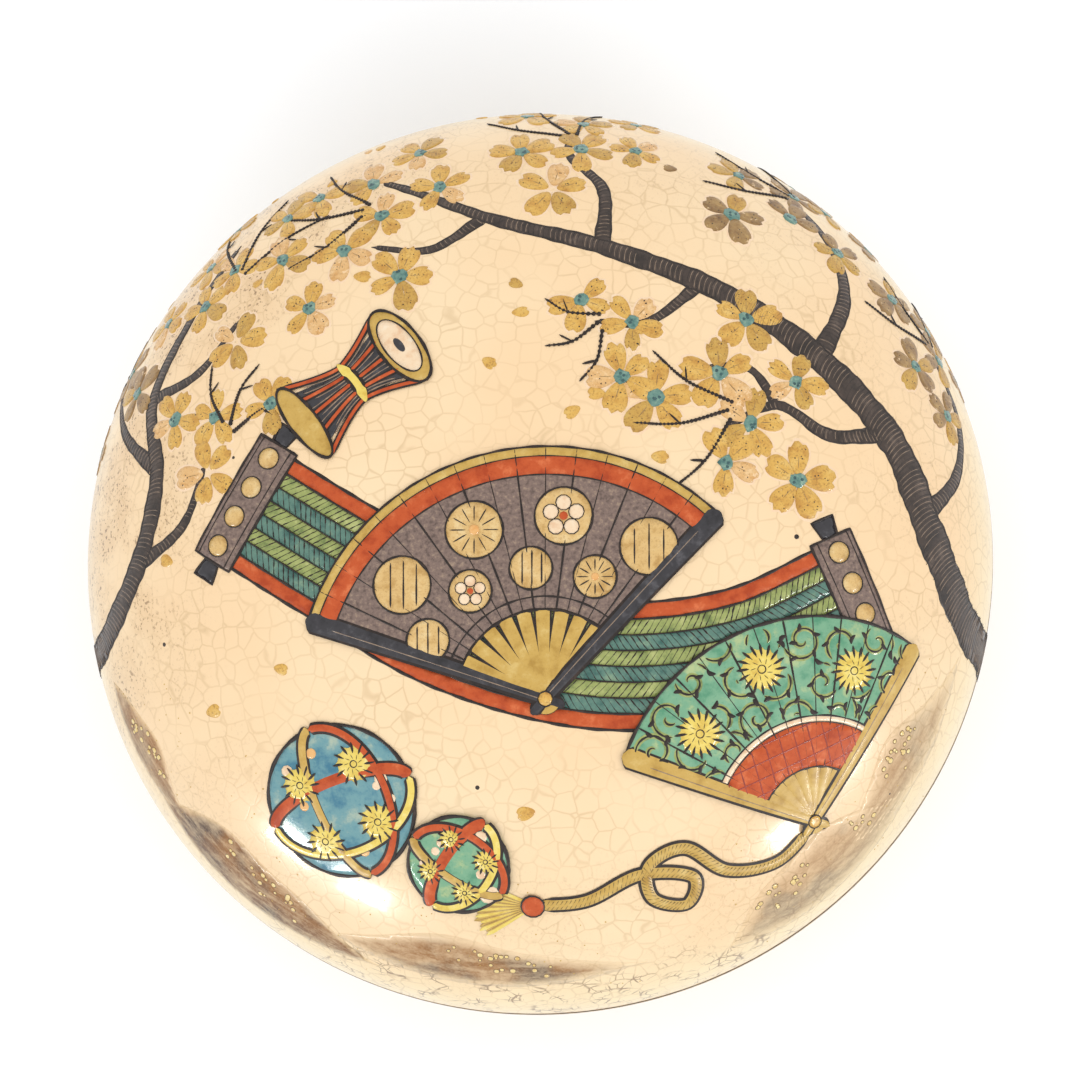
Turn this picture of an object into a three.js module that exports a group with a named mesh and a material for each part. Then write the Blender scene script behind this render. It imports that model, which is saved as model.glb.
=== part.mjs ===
// Round pottery box with a domed lid: two thrown shells that meet at their widest radius.
// The base stands on a turned foot ring and carries an upright locating lip, and the lid
// drops over that lip and seats on the flat ledge round it. Millimetres, +Z up, with the
// origin on the table under the middle of the foot, and the painted front towards -Y.
import * as THREE from "three";

// Driving dimensions
const outerRadius = 50; // widest radius, where the lid meets the base
const lidRise = 29; // joint line to the crown of the lid
const lidFullness = 2.8; // 2 is an ellipse, more is a squarer shoulder
const lidWall = 3.2; // thickness of the lid's skirt
const crownWall = 3.4; // thickness at the crown
const hollowFullness = 2.4; // shape of the hollow inside the lid
const skirtDepth = 6; // straight inner wall above the lid's rim

const baseHeight = 27; // table to the joint line
const bellyFullness = 2.6; // shape of the base's outside
const bowlFullness = 3; // shape of the bowl inside
const floorWall = 4; // thickness of the bowl's floor
const floorRadius = 32; // where the bowl's wall meets its floor

const lipHeight = 5; // locating lip above the joint line
const lipWall = 2.2; // thickness of the locating lip
const lipDraft = 0.35; // how much narrower the lip is at its top
const lipClearance = 0.5; // lip to the lid's skirt, all round

const footRadius = 31; // outside of the foot ring
const footWall = 4; // width of the foot ring at its root
const footHeight = 2.6; // table to the underside of the bowl
const footTaper = 0.6; // how much each face of the foot ring leans in

const rimRound = 0.7; // softened outer edge of both rims
const edgeRound = 0.6; // softened inner edges, lip and foot

// Resolution of the turned surfaces
const turnSides = 72;
const longCurveSteps = 18;
const shortCurveSteps = 12;
const roundSteps = 3;

// Sizes that follow from the ones above
const skirtRadius = outerRadius - lidWall;
const lipOuterRadius = skirtRadius - lipClearance;
const lipInnerRadius = lipOuterRadius - lipWall;
const floorHeight = footHeight + floorWall;

// Radius of a full curve that is `widest` at the joint line and closes `reach` away from it.
function curveRadius(widest, reach, fullness, distance) {
  const remaining = Math.max(0, 1 - (distance / reach) ** 2);
  return widest * remaining ** (1 / fullness);
}

// The reach that makes such a curve pass through `radius` at `distance` from the joint line.
function reachThrough(widest, fullness, radius, distance) {
  return distance / Math.sqrt(1 - (radius / widest) ** fullness);
}

// Points of such a curve from one distance to another, closer together near the crown.
function curvePoints(widest, reach, fullness, from, to, steps, toHeight) {
  const startAngle = Math.asin(from / reach);
  const endAngle = Math.asin(Math.min(1, to / reach));
  const points = [];
  for (let i = 0; i <= steps; i += 1) {
    const distance = reach * Math.sin(startAngle + ((endAngle - startAngle) * i) / steps);
    const radius = curveRadius(widest, reach, fullness, distance);
    points.push(new THREE.Vector2(radius, toHeight(distance)));
  }
  return points;
}

// An edge softened from `start` to `end` round its sharp corner.
function softEdge(start, corner, end) {
  const bend = new THREE.QuadraticBezierCurve(
    new THREE.Vector2(...start),
    new THREE.Vector2(...corner),
    new THREE.Vector2(...end),
  );
  return bend.getPoints(roundSteps);
}

// A turned body from the points of half its section, listed anticlockwise from the axis.
function turned(name, profile, material) {
  const geometry = new THREE.LatheGeometry(profile, turnSides);
  const mesh = new THREE.Mesh(geometry, material);
  mesh.name = name;
  // A lathe turns its profile about Y; the box stands along Z.
  mesh.rotation.x = Math.PI / 2;
  return mesh;
}

const glaze = new THREE.MeshStandardMaterial({ color: 0xf6dcb4, roughness: 0.2, metalness: 0 });
const liningGlaze = new THREE.MeshStandardMaterial({ color: 0xf1dcb8, roughness: 0.22, metalness: 0 });

function baseProfile() {
  const footInner = footRadius - footWall;
  const footBottomOuter = footRadius - footTaper;
  const footBottomInner = footInner + footTaper;
  const bellyReach = reachThrough(outerRadius, bellyFullness, footRadius, baseHeight - footHeight);
  const bowlReach = reachThrough(lipInnerRadius, bowlFullness, floorRadius, baseHeight - floorHeight);
  const fromJoint = (distance) => baseHeight - distance;
  const lipTop = baseHeight + lipHeight;

  const belly = curvePoints(
    outerRadius, bellyReach, bellyFullness, rimRound, baseHeight - footHeight, longCurveSteps, fromJoint,
  ).reverse();
  const bowl = curvePoints(
    lipInnerRadius, bowlReach, bowlFullness, 0, baseHeight - floorHeight, shortCurveSteps, fromJoint,
  );
  const rimCorner = curveRadius(outerRadius, bellyReach, bellyFullness, rimRound);

  return [
    new THREE.Vector2(0, footHeight),
    new THREE.Vector2(footInner, footHeight),
    ...softEdge(
      [footBottomInner - footTaper / 2, footHeight / 3],
      [footBottomInner, 0],
      [footBottomInner + edgeRound, 0],
    ),
    ...softEdge(
      [footBottomOuter - edgeRound, 0],
      [footBottomOuter, 0],
      [footBottomOuter + footTaper / 2, footHeight / 3],
    ),
    ...belly,
    ...softEdge([rimCorner, baseHeight - rimRound], [outerRadius, baseHeight], [outerRadius - rimRound, baseHeight]).slice(1),
    new THREE.Vector2(lipOuterRadius, baseHeight),
    ...softEdge(
      [lipOuterRadius - lipDraft, lipTop - edgeRound],
      [lipOuterRadius - lipDraft, lipTop],
      [lipOuterRadius - lipDraft - edgeRound, lipTop],
    ),
    ...softEdge(
      [lipInnerRadius + edgeRound, lipTop],
      [lipInnerRadius, lipTop],
      [lipInnerRadius, lipTop - edgeRound],
    ),
    ...bowl,
    new THREE.Vector2(0, floorHeight),
  ];
}

function lidProfile() {
  const hollowReach = lidRise - crownWall - skirtDepth;
  const fromJoint = (distance) => baseHeight + distance;
  const fromSkirt = (distance) => baseHeight + skirtDepth + distance;

  const hollow = curvePoints(
    skirtRadius, hollowReach, hollowFullness, 0, hollowReach, shortCurveSteps, fromSkirt,
  ).reverse();
  const dome = curvePoints(
    outerRadius, lidRise, lidFullness, rimRound, lidRise, longCurveSteps, fromJoint,
  );
  const rimCorner = curveRadius(outerRadius, lidRise, lidFullness, rimRound);

  return [
    ...hollow,
    ...softEdge(
      [skirtRadius, baseHeight + edgeRound],
      [skirtRadius, baseHeight],
      [skirtRadius + edgeRound, baseHeight],
    ),
    ...softEdge([outerRadius - rimRound, baseHeight], [outerRadius, baseHeight], [rimCorner, baseHeight + rimRound]),
    ...dome.slice(1),
  ];
}

const box = new THREE.Group();
box.add(turned("base", baseProfile(), liningGlaze));
box.add(turned("lid", lidProfile(), glaze));

export default box;
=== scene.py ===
"""Looks of a round pottery box: two turned shells in crackle glaze, and a lid painted in enamels and gold.

The painting is laid out in millimetres along the lid's surface, measured from the crown: x to the right and
y to the back, as the painted front faces -Y. Every painted mark is a thin solid that follows the dome.
"""
import math
import random

import bpy
import numpy as np
from mathutils import Euler, Matrix, Vector
from mathutils.geometry import delaunay_2d_cdt


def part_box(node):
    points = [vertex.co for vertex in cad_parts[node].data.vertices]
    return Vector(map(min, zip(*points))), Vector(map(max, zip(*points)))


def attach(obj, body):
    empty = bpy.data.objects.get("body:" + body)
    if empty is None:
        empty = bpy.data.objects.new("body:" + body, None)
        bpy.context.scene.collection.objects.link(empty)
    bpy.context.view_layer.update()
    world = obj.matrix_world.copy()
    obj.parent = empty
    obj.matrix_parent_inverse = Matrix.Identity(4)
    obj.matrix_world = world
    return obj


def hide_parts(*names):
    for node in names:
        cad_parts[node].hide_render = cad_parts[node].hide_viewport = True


MM = 0.001

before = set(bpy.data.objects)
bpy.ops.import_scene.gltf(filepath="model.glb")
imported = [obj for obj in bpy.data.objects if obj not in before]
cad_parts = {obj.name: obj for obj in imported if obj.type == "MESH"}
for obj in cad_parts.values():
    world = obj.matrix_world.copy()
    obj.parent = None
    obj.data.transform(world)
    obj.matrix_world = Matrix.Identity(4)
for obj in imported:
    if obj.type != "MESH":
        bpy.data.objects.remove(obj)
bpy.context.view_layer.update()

# Sizes taken from the frame, in metres
lid_low, lid_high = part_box("lid")
RADIUS = lid_high.x
JOINT = lid_low.z
RISE = lid_high.z - JOINT
LIP_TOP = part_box("base")[1].z

# Sizes of the turned shells, as the frame's solids have them
LID_FULLNESS = 2.8
LID_WALL = 3.2 * MM
CROWN_WALL = 3.4 * MM
HOLLOW_FULLNESS = 2.4
SKIRT_DEPTH = 6.0 * MM
BELLY_FULLNESS = 2.6
BOWL_FULLNESS = 3.0
FLOOR_WALL = 4.0 * MM
FLOOR_RADIUS = 32.0 * MM
LIP_WALL = 2.2 * MM
LIP_DRAFT = 0.35 * MM
LIP_CLEARANCE = 0.5 * MM
FOOT_RADIUS = 31.0 * MM
FOOT_WALL = 4.0 * MM
FOOT_HEIGHT = 2.6 * MM
FOOT_TAPER = 0.6 * MM
RIM_ROUND = 0.5 * MM
EDGE_ROUND = 0.6 * MM
TURN_SIDES = 240

SKIRT_RADIUS = RADIUS - LID_WALL
LIP_OUTER = SKIRT_RADIUS - LIP_CLEARANCE
LIP_INNER = LIP_OUTER - LIP_WALL
FLOOR_HEIGHT = FOOT_HEIGHT + FLOOR_WALL

# Camera and framing, as the photograph has the joint's circle, in pixels
PHOTO_WIDTH, PHOTO_HEIGHT = 1080, 1087
JOINT_CENTRE = (539.2, 562.3)
JOINT_RADIUS = 453.0
CAMERA_DISTANCE = 0.80
CAMERA_TILT = math.radians(10)
CAMERA_SIDE = math.radians(-62)
SENSOR = 36.0
CLIP_NEAR, CLIP_FAR = 0.05, 10


def in_scene(name, data):
    """An object that holds the data, linked to the scene."""
    made = bpy.data.objects.new(name, data)
    bpy.context.scene.collection.objects.link(made)
    return made


def mesh_object(name, points, faces, materials, slots):
    mesh = bpy.data.meshes.new(name)
    mesh.from_pydata(points, [], faces)
    for material in materials:
        mesh.materials.append(material)
    mesh.polygons.foreach_set("material_index", slots)
    mesh.polygons.foreach_set("use_smooth", [True] * len(faces))
    mesh.update()
    return in_scene(name, mesh)


def make_camera():
    data = bpy.data.cameras.new("camera")
    camera = in_scene("camera", data)
    data.sensor_width = SENSOR
    data.lens = JOINT_RADIUS * CAMERA_DISTANCE * SENSOR / (RADIUS * max(PHOTO_WIDTH, PHOTO_HEIGHT))
    data.clip_start, data.clip_end = CLIP_NEAR, CLIP_FAR
    out = math.sin(CAMERA_TILT)
    back = Vector((out * math.cos(CAMERA_SIDE), out * math.sin(CAMERA_SIDE), math.cos(CAMERA_TILT)))
    right = Vector((0, 1, 0)).cross(back).normalized()
    up = back.cross(right)
    pixel = RADIUS / JOINT_RADIUS
    aim = Vector((0, 0, JOINT))
    aim -= right * (JOINT_CENTRE[0] - PHOTO_WIDTH / 2) * pixel
    aim += up * (JOINT_CENTRE[1] - PHOTO_HEIGHT / 2) * pixel
    camera.rotation_mode = "QUATERNION"
    camera.rotation_quaternion = Matrix((right, up, back)).transposed().to_quaternion()
    camera.location = aim + back * CAMERA_DISTANCE
    bpy.context.scene.camera = camera


make_camera()


# Node materials. Their lengths are in millimetres
LIGHT_LEVEL = 1.2


def seen(*display):
    """The surface colour that shows as this display colour, 0 to 255, under the studio light."""
    def linear(value):
        value /= 255
        return value / 12.92 if value <= 0.04045 else ((value + 0.055) / 1.055) ** 2.4
    return (*(linear(value) / LIGHT_LEVEL for value in display), 1.0)


class Shader:
    """A node material under construction."""

    def __init__(self, name, colour, roughness, coat=0.0, gloss=0.5):
        self.colour = colour
        self.material = bpy.data.materials.new(name)
        self.material.use_nodes = True
        self.tree = self.material.node_tree
        self.coordinates = self.tree.nodes.new("ShaderNodeTexCoord").outputs["Object"]
        self.surface(
            Roughness=roughness, Specular_IOR_Level=gloss, Coat_Weight=coat, Coat_Roughness=0.09, Coat_IOR=1.4
        )

    def connect(self, node, inputs):
        """Link or set inputs, each given by its name or by the letter i and its number."""
        for key, value in inputs.items():
            socket = node.inputs[int(key[1:]) if key[1:].isdigit() else key.replace("_", " ")]
            if isinstance(value, bpy.types.NodeSocket):
                self.tree.links.new(value, socket)
            else:
                socket.default_value = value

    def surface(self, **inputs):
        self.connect(self.tree.nodes["Principled BSDF"], inputs)

    def node(self, kind, output=0, settings=None, **inputs):
        made = self.tree.nodes.new("ShaderNode" + kind)
        for key, value in (settings or {}).items():
            setattr(made, key, value)
        self.connect(made, inputs)
        return made.outputs[output]

    def place(self, offset=(0, 0, 0)):
        return self.node("Mapping", Vector=self.coordinates, Scale=(1 / MM,) * 3, Location=offset)

    def place_parts(self):
        """The place's x, y and z."""
        return self.node("SeparateXYZ", Vector=self.place()).node.outputs

    def noise(self, size, detail, rough=0.5, offset=(0, 0, 0), where=None):
        """Noise with patches of about `size`, from 0 to 1."""
        place = where or self.place(offset)
        return self.node("TexNoise", Vector=place, Scale=1 / size, Detail=detail, Roughness=rough)

    def ramp(self, value, low, high, start=0.0, end=1.0):
        return self.node(
            "MapRange", settings={"interpolation_type": "SMOOTHSTEP"},
            Value=value, From_Min=low, From_Max=high, To_Min=start, To_Max=end,
        )

    def math(self, kind, first, second=0.0):
        return self.node("Math", settings={"operation": kind}, i0=first, i1=second)

    def times(self, first, *others):
        for other in others:
            first = self.math("MULTIPLY", first, other)
        return first

    def plus(self, first, second):
        return self.math("ADD", first, second)

    def minus(self, first, second):
        return self.math("SUBTRACT", first, second)

    def length(self, x, y):
        return self.math("SQRT", self.plus(self.times(x, x), self.times(y, y)))

    def mix(self, factor, first, second):
        return self.node("Mix", 2, {"data_type": "RGBA"}, i0=factor, i6=first, i7=second)

    def lay(self, colour, *shares):
        """Lay a colour over the ones so far, as strong as the product of the shares."""
        self.colour = self.mix(self.times(*shares), self.colour, colour)

    def done(self, height=None, strength=0.0, distance=0.0):
        """The finished material, with a bump where a height is given."""
        self.surface(Base_Color=self.colour)
        if height:
            self.surface(Normal=self.node("Bump", Height=height, Strength=strength, Distance=distance))
        return self.material


CREAM = seen(252, 218, 173)
PALE_CREAM = seen(254, 226, 184)
PAINTED_RIM_LIGHT = seen(252, 231, 182)
CRAZE = seen(206, 175, 128)
STAIN = seen(112, 76, 46)
JOINT_STAIN = seen(66, 42, 26)
HAZE = seen(222, 184, 136)
CRAZE_CELL, CRAZE_WIDTH = 2.0, 0.15
JOINT_LEVEL = JOINT / MM


def crackle(shader, cell, width, warp=0.35):
    """Crazing lines: 1 on a line and 0 inside a cell, with cells of about the size `cell`."""
    wobble = shader.node("TexNoise", 1, Vector=shader.place(), Scale=1 / cell, Detail=1.0)
    shifted = shader.node("VectorMath", settings={"operation": "SUBTRACT"}, i0=wobble, i1=(0.5, 0.5, 0.5))
    scaled = shader.node("VectorMath", settings={"operation": "SCALE"}, i0=shifted, Scale=warp * cell)
    place = shader.node("VectorMath", settings={"operation": "ADD"}, i0=shader.place(), i1=scaled)
    edge = shader.node(
        "TexVoronoi", settings={"feature": "DISTANCE_TO_EDGE"}, Vector=place, Scale=1 / cell, Randomness=0.8
    )
    return shader.ramp(edge, 0.0, width / cell, 1.0, 0.0)


def turned_place(shader):
    """The place's distance from the axis, and from the joint's level."""
    x, y, z = shader.place_parts()
    return shader.length(x, y), shader.math("ABSOLUTE", shader.minus(z, JOINT_LEVEL))


def lay_joint_dirt(shader):
    """Dirt that fades within a millimetre of the joint's open edge."""
    out, gap = turned_place(shader)
    at_edge = shader.ramp(out, RADIUS / MM - 1.3, RADIUS / MM - 0.7)
    ragged = shader.ramp(shader.noise(1.2, detail=4), 0.2, 0.8, -0.15, 0.15)
    shader.lay(JOINT_STAIN, at_edge, shader.ramp(shader.plus(gap, ragged), 0.75, 0.4, 0.0, 0.95))


# Heights, reaches to the left and places along y, each from where the lid's wear starts to where it is full
SPECK_HEIGHTS, SPECK_LEFT = (JOINT_LEVEL + 26, JOINT_LEVEL + 18), (24, 40)
CRACK_HEIGHTS, CRACK_FRONT = (JOINT_LEVEL + 13, JOINT_LEVEL + 8), (-36, -46)


def lay_lid_wear(shader, lines):
    """Dusty specks low on the lid, most on its left, and stained cracks near the front of its rim."""
    x, y, z = shader.place_parts()
    leftward = shader.minus(shader.times(y, 0.45), shader.times(x, 0.9))
    side = shader.plus(shader.ramp(leftward, *SPECK_LEFT, 0.0, 0.85), 0.15)
    patches = shader.ramp(shader.noise(7.0, detail=4, offset=(5, 50, 9)), 0.38, 0.6)
    dusty = shader.times(patches, shader.times(shader.ramp(z, *SPECK_HEIGHTS), side))
    shader.lay(HAZE, dusty, 0.45)
    streak = shader.node("Mapping", Vector=shader.place(), Rotation=(0, 0, 0.8), Scale=(1.0, 0.75, 0.7))
    for size, level in ((0.34, 0.57), (0.7, 0.62)):
        specks = shader.ramp(shader.noise(size, detail=3, rough=0.6, where=streak), level, level + 0.07)
        shader.lay(STAIN, specks, dusty, 0.85)
    broken = shader.ramp(shader.noise(2.6, detail=3, offset=(9, 2, 60)), 0.48, 0.62)
    front = shader.times(shader.ramp(y, *CRACK_FRONT), shader.ramp(z, *CRACK_HEIGHTS))
    fine_lines = shader.math("MAXIMUM", lines, crackle(shader, 1.5, 0.08))
    shader.lay(STAIN, fine_lines, broken, front, 0.8)


def lay_base_wear(shader):
    specks = shader.ramp(shader.noise(0.6, detail=3, rough=0.6), 0.64, 0.7, 0.0, 0.5)
    patches = shader.ramp(shader.noise(9.0, detail=3, offset=(5, 50, 9)), 0.5, 0.66)
    shader.lay(STAIN, specks, patches)


def lay_glaze(shader, lid):
    """Lay the glaze over cream: painted light, yellower, near the joint; crazed and worn. Gives back the
    crazing lines.
    """
    shader.lay(PALE_CREAM, shader.ramp(shader.noise(26.0, detail=3), 0.35, 0.7))
    # Painted light: a lighter, yellower cream near the joint for how light falls on the glaze at the rim; on
    # the base it never falls below half
    reach, least = (15, 0.0) if lid else (27, 0.5)
    shader.lay(PAINTED_RIM_LIGHT, shader.ramp(turned_place(shader)[1], reach, 2, least, 0.8))
    lines = crackle(shader, CRAZE_CELL, CRAZE_WIDTH)
    strength = shader.ramp(shader.noise(9.0, detail=2, offset=(31, 7, 3)), 0.3, 0.7, 0.12, 0.45)
    shader.lay(CRAZE, lines, strength)
    lay_joint_dirt(shader)
    if lid:
        lay_lid_wear(shader, lines)
    else:
        lay_base_wear(shader)
    return lines


def glaze_material(name, lid=False):
    shader = Shader(name, CREAM, 0.28, coat=0.3, gloss=0.25)
    lines = lay_glaze(shader, lid)
    return shader.done(shader.minus(shader.noise(5.0, detail=2), shader.times(lines, 0.25)), 0.12, 0.0002)


def mist_material():
    """A wash of gold, brushed along the rim: golden brown, greyish lower down, and thin at its edges."""
    shader = Shader("mist", CREAM, 0.36, coat=0.15, gloss=0.2)
    lay_glaze(shader, lid=True)
    x, y, z = shader.place_parts()
    golden = shader.ramp(shader.noise(6.0, detail=3, offset=(2, 11, 7)), 0.36, 0.56)
    golden = shader.times(golden, shader.ramp(z, JOINT_LEVEL + 6, JOINT_LEVEL + 13, 0.35, 1.0))
    around = shader.times(shader.math("ARCTAN2", y, x), RADIUS / MM)
    along_rim = shader.node("CombineXYZ", X=shader.times(around, 0.2), Y=z, Z=shader.times(x, 0.2))
    streaks = shader.ramp(shader.noise(0.9, detail=5, rough=0.68, where=along_rim), 0.32, 0.62, 0.66, 1.08)
    wash = shader.node("Attribute", 2, {"attribute_name": "wash"})
    grain = shader.ramp(shader.noise(0.3, detail=2), 0.3, 0.7, 0.86, 1.0)
    worn = shader.ramp(shader.noise(2.4, detail=4, rough=0.6, offset=(60, 5, 1)), 0.3, 0.5, 0.8, 1.0)
    shader.lay(shader.mix(golden, seen(88, 64, 46), seen(150, 98, 36)), wash, streaks, grain, worn)
    return shader.done()


def clay_material():
    """Bare buff clay with turning marks: dirty at the joint, painted shade in the lip's corner, painted light
    up the lip.
    """
    shader = Shader("clay", seen(184, 148, 108), 0.8, gloss=0.1)
    shader.lay(seen(220, 190, 150), shader.ramp(shader.noise(3.0, detail=5, rough=0.65), 0.3, 0.7))
    out, gap = turned_place(shader)
    height = shader.place_parts()[2]
    # Painted light: the clay turns paler towards the lip's top
    shader.lay(seen(236, 212, 176), shader.ramp(height, JOINT_LEVEL + 1.5, LIP_TOP / MM, 0.0, 0.6))
    lip = LIP_OUTER / MM
    # Painted shade: darker in the corner where the lip rises from the ledge
    corner = shader.times(shader.ramp(out, lip + 1.1, lip + 0.1), shader.ramp(gap, 1.4, 0.2, 0.0, 0.65))
    shader.lay(STAIN, corner)
    lay_joint_dirt(shader)
    marks = shader.math("SINE", shader.times(shader.plus(out, gap), 11.0))
    rough = shader.plus(shader.noise(0.3, detail=3), shader.times(marks, 0.12))
    return shader.done(rough, 0.5, 0.0001)


# Fine turned shells
def curve_radius(widest, reach, fullness, distance):
    return widest * np.maximum(0, 1 - (distance / reach) ** 2) ** (1 / fullness)


def reach_through(widest, fullness, radius, distance):
    return distance / math.sqrt(1 - (radius / widest) ** fullness)


def curve_points(widest, reach, fullness, start, end, steps):
    """Points of a shell's curve, as radius and height, from one distance from its widest level to another."""
    angles = np.linspace(math.asin(start / reach), math.asin(min(1, end / reach)), steps)
    distance = reach * np.sin(angles)
    return np.column_stack([curve_radius(widest, reach, fullness, distance), distance])


def soft_edge(corner, before, after, steps=6):
    """A rounded corner between two points, each given by its offset from the corner."""
    t = np.linspace(0, 1, steps)[:, None]
    corner = np.array(corner, float)
    return (corner + before) * (1 - t) ** 2 + corner * 2 * t * (1 - t) + (corner + after) * t ** 2


def at_joint(points, direction):
    return np.column_stack([points[:, 0], JOINT + direction * points[:, 1]])


def lid_sections():
    """The lid's half section as named stretches, from the middle of the hollow round the rim to the crown."""
    reach = RISE - CROWN_WALL - SKIRT_DEPTH
    hollow = curve_points(SKIRT_RADIUS, reach, HOLLOW_FULLNESS, 0, reach, 48)[::-1]
    corner = curve_radius(RADIUS, RISE, LID_FULLNESS, RIM_ROUND)
    rim = np.vstack([
        soft_edge((SKIRT_RADIUS, JOINT), (0, EDGE_ROUND), (EDGE_ROUND, 0)),
        soft_edge((RADIUS, JOINT), (-RIM_ROUND, 0), (corner - RADIUS, RIM_ROUND)),
    ])
    dome = at_joint(curve_points(RADIUS, RISE, LID_FULLNESS, RIM_ROUND, RISE, 110), 1)[1:]
    return [("lining", at_joint(hollow + [0, SKIRT_DEPTH], 1)), ("clay", rim), ("glaze", dome)]


def base_sections():
    """The base's half section, from under its middle over the foot, belly and lip to the bowl's middle."""
    foot_inner = FOOT_RADIUS - FOOT_WALL
    drop, bowl_drop = JOINT - FOOT_HEIGHT, JOINT - FLOOR_HEIGHT
    belly_reach = reach_through(RADIUS, BELLY_FULLNESS, FOOT_RADIUS, drop)
    bowl_reach = reach_through(LIP_INNER, BOWL_FULLNESS, FLOOR_RADIUS, bowl_drop)
    under = np.array([(0, FOOT_HEIGHT), (foot_inner * 0.5, FOOT_HEIGHT), (foot_inner, FOOT_HEIGHT)])
    slope, upright = FOOT_TAPER / 2, FOOT_HEIGHT / 3
    foot = np.vstack([
        soft_edge((foot_inner + FOOT_TAPER, 0), (-slope, upright), (EDGE_ROUND, 0)),
        soft_edge((FOOT_RADIUS - FOOT_TAPER, 0), (-EDGE_ROUND, 0), (slope, upright)),
    ])
    belly = at_joint(curve_points(RADIUS, belly_reach, BELLY_FULLNESS, RIM_ROUND, drop, 70)[::-1], -1)
    corner = curve_radius(RADIUS, belly_reach, BELLY_FULLNESS, RIM_ROUND)
    rim = np.vstack([
        soft_edge((RADIUS, JOINT), (corner - RADIUS, -RIM_ROUND), (-RIM_ROUND, 0))[1:],
        [(LIP_OUTER, JOINT)],
        soft_edge((LIP_OUTER - LIP_DRAFT, LIP_TOP), (0, -EDGE_ROUND), (-EDGE_ROUND, 0)),
    ])
    lip_inside = soft_edge((LIP_INNER, LIP_TOP), (EDGE_ROUND, 0), (0, -EDGE_ROUND))
    bowl = at_joint(curve_points(LIP_INNER, bowl_reach, BOWL_FULLNESS, 0, bowl_drop, 60), -1)
    floor = [(FLOOR_RADIUS * 0.5, FLOOR_HEIGHT), (0, FLOOR_HEIGHT)]
    inside = np.vstack([lip_inside, bowl, floor])
    return [("glaze", under), ("clay", foot), ("glaze", belly), ("clay", rim), ("glaze", inside)]


def turn(name, sections, materials):
    """A closed turned mesh, with a material for each stretch of its section."""
    profile = np.vstack([points for _, points in sections])
    names = list(materials)
    kinds = [names.index(kind) for kind, points in sections for _ in points]
    angles = np.linspace(0, 2 * math.pi, TURN_SIDES, endpoint=False)
    around = np.column_stack([np.cos(angles), np.sin(angles)])
    rings = [(out * x, out * y, height) for out, height in profile[1:-1] for x, y in around]
    points = [*rings, (0, 0, profile[0, 1]), (0, 0, profile[-1, 1])]
    faces, slots = [], []
    first, last = len(rings), len(rings) + 1
    top = first - TURN_SIDES
    for side in range(TURN_SIDES):
        after = (side + 1) % TURN_SIDES
        faces.append((first, after, side))
        for low in range(0, top, TURN_SIDES):
            high = low + TURN_SIDES
            faces.append((low + side, low + after, high + after, high + side))
        faces.append((top + side, top + after, last))
        slots += [kinds[0], *kinds[1:-2], kinds[-1]]
    return mesh_object(name, points, faces, materials.values(), slots)


glaze = glaze_material("crackle_glaze")
painted_glaze = glaze_material("painted_glaze", lid=True)
clay = clay_material()

lid_shell = turn("lid_shell", lid_sections(), {"lining": glaze, "clay": clay, "glaze": painted_glaze})
base_shell = turn("base_shell", base_sections(), {"glaze": glaze, "clay": clay})
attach(lid_shell, "lid")
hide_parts("lid")
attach(base_shell, "base")
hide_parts("base")


# The dome that the painting lies on
def lengths(line):
    """The length along a line at each of its points."""
    return np.concatenate([[0], np.cumsum(np.hypot(*np.diff(line, axis=0).T))])


def dome_table(steps=1500):
    """Length along the dome from the crown, with the radius, the rise and the normal there."""
    angles = np.linspace(math.pi / 2, 0, steps)
    rise = RISE * np.sin(angles)
    radius = curve_radius(RADIUS, RISE, LID_FULLNESS, rise)
    along = lengths(np.column_stack([radius, rise]))
    slope_out, slope_up = np.gradient(radius, along), np.gradient(rise, along)
    length = np.hypot(slope_out, slope_up)
    return along, radius, rise, -slope_up / length, slope_out / length


ALONG, DOME_RADIUS, DOME_RISE, NORMAL_OUT, NORMAL_UP = dome_table()


def on_dome(flat, lift):
    """Points in metres for places on the unrolled dome in mm, raised by `lift` mm along its normal."""
    along = np.minimum(np.hypot(flat[:, 0], flat[:, 1]) * MM, ALONG[-1])
    angle = np.arctan2(flat[:, 1], flat[:, 0])
    raised = np.asarray(lift) * MM
    reach = np.interp(along, ALONG, DOME_RADIUS) + raised * np.interp(along, ALONG, NORMAL_OUT)
    height = JOINT + np.interp(along, ALONG, DOME_RISE) + raised * np.interp(along, ALONG, NORMAL_UP)
    return np.column_stack([reach * np.cos(angle), reach * np.sin(angle), height])


# Flat drawing helpers, in millimetres and degrees
def heading(run):
    return math.degrees(math.atan2(run[1], run[0]))


def smooth(points, steps=8):
    """A smooth curve through a few points."""
    points = np.array(points, float)
    around = np.vstack([2 * points[0] - points[1], points, 2 * points[-1] - points[-2]])
    curve = []
    for a, b, c, d in zip(around, around[1:], around[2:], around[3:]):
        for t in np.arange(steps) / steps:
            bend = (2 * a - 5 * b + 4 * c - d) * t ** 2 + (3 * b - a - 3 * c + d) * t ** 3
            curve.append(b + 0.5 * ((c - a) * t + bend))
    return np.array([*curve, points[-1]])


def spaced(points, pitch, closed=False):
    """The same line with points no further apart than `pitch`; its corners stay."""
    points = np.asarray(points, float)
    after = np.roll(points, -1, axis=0) if closed else points[1:]
    made = []
    for start, end in zip(points, after):
        count = max(1, math.ceil(np.hypot(*(end - start)) / pitch))
        made.extend(start + (end - start) * k / count for k in range(count))
    return np.array(made if closed else [*made, points[-1]])


def polar(centre, radius, angle):
    angle = np.radians(angle)
    return np.array([centre[0] + radius * np.cos(angle), centre[1] + radius * np.sin(angle)])


def ray(centre, start, end, angle, twist=0.0):
    """The two ends of a line away from a centre. Its far end is turned by `twist`."""
    return polar(centre, start, angle), polar(centre, end, angle + twist)


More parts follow.
